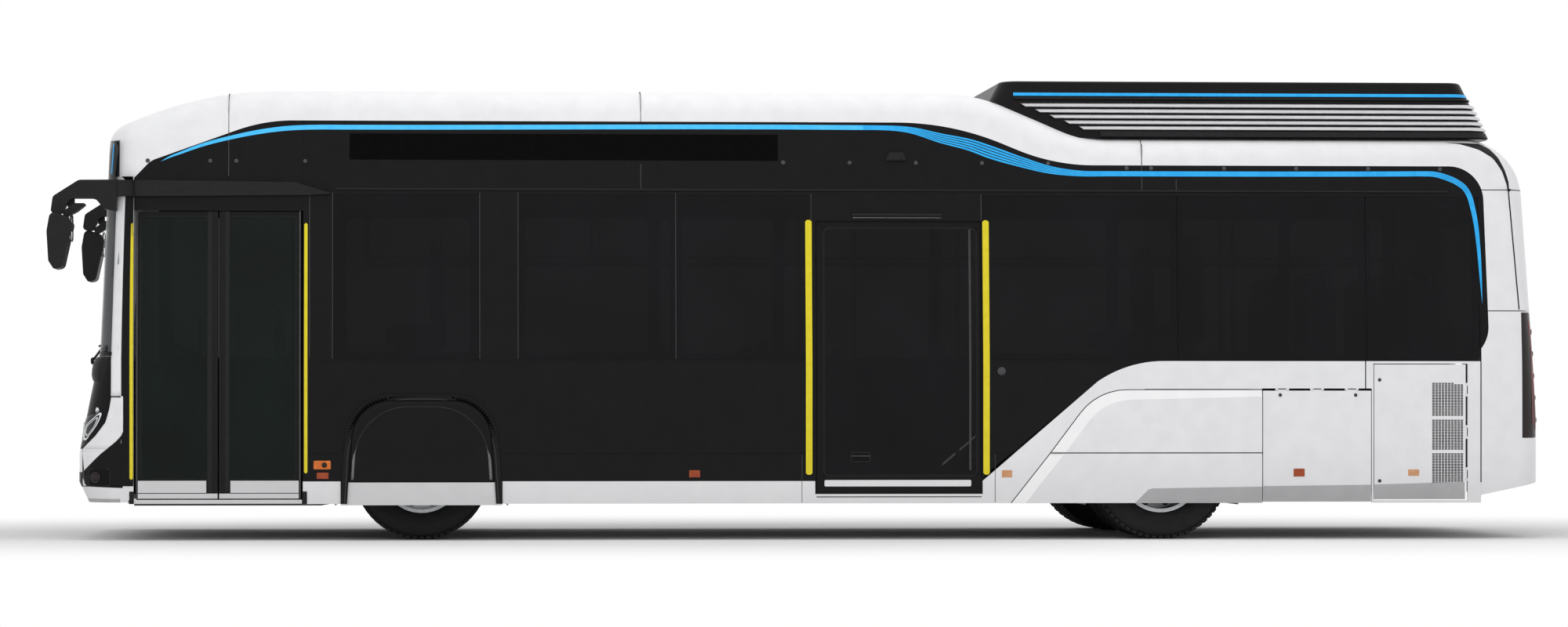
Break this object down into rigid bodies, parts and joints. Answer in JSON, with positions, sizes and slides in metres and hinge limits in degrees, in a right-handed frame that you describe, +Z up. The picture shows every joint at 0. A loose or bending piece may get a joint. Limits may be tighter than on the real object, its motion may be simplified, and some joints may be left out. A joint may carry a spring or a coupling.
{
  "type": "hydrogen fuel-cell city bus",
  "caption": "Low-floor single-deck hydrogen city bus with raised tank roof, rear roof pod, plug and folding doors, steered front wheels and opening service hatches.",
  "frame": {"origin": "on the ground at the middle of the overall bounding box", "axes": "+X towards the rear along the length, +Z up, the side with the passenger doors faces -Y"},
  "size_m": [10.7547, 2.75, 3.325],
  "materials": {
    "white": "gloss",
    "black": "gloss",
    "glass": "gloss",
    "clear_lens": "gloss",
    "red_lens": "gloss",
    "silver": "satin",
    "tyre": "matte",
    "interior": "matte",
    "floor": "matte",
    "seat_fabric": "matte",
    "chassis": "satin",
    "handrail": "satin",
    "grey_plastic": "matte",
    "door_black": "satin"
  },
  "bodies": {
    "body": {"cabin_ceiling": "interior", "chassis_frame": "chassis", "dashboard": "grey_plastic", "door_gear": "interior", "drive_unit": "chassis", "floor_deck": "floor", "front_axle": "chassis", "front_bumper": "white", "front_door_header": "black", "front_frame": "black", "front_glass": "glass", "front_panel": "white", "front_wheel_covers": "black", "handrails": "handrail", "headlamps": "clear_lens", "hydrogen_tanks": "chassis", "left_side_wall": "black", "mirrors": "grey_plastic", "pod_louvres": "silver", "rear_axle": "chassis", "rear_frame": "white", "rear_quarter_panels": "white", "right_side_wall": "black", "roof_pod": "black", "roof_shell": "white", "seats": "seat_fabric", "skirt_panels": "white", "steering_wheel": "grey_plastic", "tail_lamps": "red_lens", "tank_cover": "black", "wheel_boxes": "interior", "window_glass": "glass"},
    "left_knuckle": {"left_knuckle": "chassis"},
    "right_knuckle": {"right_knuckle": "chassis"},
    "front_left_wheel": {"front_left_tyre": "tyre", "front_left_rim": "silver"},
    "front_right_wheel": {"front_right_tyre": "tyre", "front_right_rim": "silver"},
    "rear_left_wheels": {"rear_left_tyres": "tyre", "rear_left_rims": "silver"},
    "rear_right_wheels": {"rear_right_tyres": "tyre", "rear_right_rims": "silver"},
    "front_door_front_arm": {"front_door_front_arm": "door_black"},
    "front_door_rear_arm": {"front_door_rear_arm": "door_black"},
    "front_door_front_leaf": {"front_door_front_leaf": "door_black", "front_door_front_glass": "glass"},
    "front_door_rear_leaf": {"front_door_rear_leaf": "door_black", "front_door_rear_glass": "glass"},
    "mid_door": {"mid_door_leaf": "door_black", "mid_door_glass": "glass"},
    "left_battery_hatch": {"left_battery_hatch": "white"},
    "right_battery_hatch": {"right_battery_hatch": "white"},
    "left_vent_door": {"left_vent_door": "white"},
    "right_vent_door": {"right_vent_door": "white"},
    "filler_lid": {"filler_lid": "black"},
    "rear_lid": {"rear_lid": "white"}
  },
  "joints": [
    {"name": "steer_left", "type": "hinge", "parent": "body", "child": "left_knuckle", "pos_m": [-2.7275, -0.825, 0.49], "axis": [0, 0, 1], "range_deg": [-30, 30]},
    {"name": "steer_right", "type": "hinge", "parent": "body", "child": "right_knuckle", "pos_m": [-2.7275, 0.825, 0.49], "axis": [0, 0, 1], "range_deg": [-30, 30]},
    {"name": "front_left_wheel_spin", "type": "hinge", "parent": "left_knuckle", "child": "front_left_wheel", "pos_m": [-2.7275, -0.945, 0.49], "axis": [0, 1, 0], "continuous": true},
    {"name": "front_right_wheel_spin", "type": "hinge", "parent": "right_knuckle", "child": "front_right_wheel", "pos_m": [-2.7275, 0.945, 0.49], "axis": [0, 1, 0], "continuous": true},
    {"name": "rear_left_wheels_spin", "type": "hinge", "parent": "body", "child": "rear_left_wheels", "pos_m": [2.6125, -0.88, 0.49], "axis": [0, 1, 0], "continuous": true},
    {"name": "rear_right_wheels_spin", "type": "hinge", "parent": "body", "child": "rear_right_wheels", "pos_m": [2.6125, 0.88, 0.49], "axis": [0, 1, 0], "continuous": true},
    {"name": "front_door_front_arm_swing", "type": "hinge", "parent": "body", "child": "front_door_front_arm", "pos_m": [-4.7305, -1.16405, 2.368], "axis": [0, 0, 1], "range_deg": [0, 90]},
    {"name": "front_door_front_leaf_turn", "type": "hinge", "parent": "front_door_front_arm", "child": "front_door_front_leaf", "pos_m": [-4.4515, -1.16405, 2.368], "axis": [0, 0, 1], "range_deg": [-180, 0]},
    {"name": "front_door_rear_arm_swing", "type": "hinge", "parent": "body", "child": "front_door_rear_arm", "pos_m": [-3.6185, -1.16405, 2.368], "axis": [0, 0, 1], "range_deg": [-90, 0]},
    {"name": "front_door_rear_leaf_turn", "type": "hinge", "parent": "front_door_rear_arm", "child": "front_door_rear_leaf", "pos_m": [-3.8975, -1.16405, 2.368], "axis": [0, 0, 1], "range_deg": [0, 180]},
    {"name": "mid_door_slide", "type": "slide", "parent": "body", "child": "mid_door", "axis": [1, 0, 0], "range_m": [0, 1.08]},
    {"name": "left_battery_hatch_lift", "type": "hinge", "parent": "body", "child": "left_battery_hatch", "pos_m": [3.7315, -1.238, 1.08], "axis": [-1, 0, 0], "range_deg": [0, 85]},
    {"name": "right_battery_hatch_lift", "type": "hinge", "parent": "body", "child": "right_battery_hatch", "pos_m": [3.7315, 1.238, 1.08], "axis": [1, 0, 0], "range_deg": [0, 85]},
    {"name": "left_vent_door_swing", "type": "hinge", "parent": "body", "child": "left_vent_door", "pos_m": [4.8245, -1.238, 0.775], "axis": [0, 0, 1], "range_deg": [0, 90]},
    {"name": "right_vent_door_swing", "type": "hinge", "parent": "body", "child": "right_vent_door", "pos_m": [4.8245, 1.238, 0.775], "axis": [0, 0, -1], "range_deg": [0, 90]},
    {"name": "filler_lid_swing", "type": "hinge", "parent": "body", "child": "filler_lid", "pos_m": [0.6025, 1.238, 0.85], "axis": [0, 0, 1], "range_deg": [0, 90]},
    {"name": "rear_lid_lift", "type": "hinge", "parent": "body", "child": "rear_lid", "pos_m": [5.34813, 0, 1.29], "axis": [0, -1, 0], "range_deg": [0, 75]}
  ],
  "couplings": [
    {"joint": "steer_right", "follows": "steer_left", "ratio": 1},
    {"joint": "front_door_front_leaf_turn", "follows": "front_door_front_arm_swing", "ratio": -2},
    {"joint": "front_door_rear_arm_swing", "follows": "front_door_front_arm_swing", "ratio": -1},
    {"joint": "front_door_rear_leaf_turn", "follows": "front_door_front_arm_swing", "ratio": 2}
  ]
}
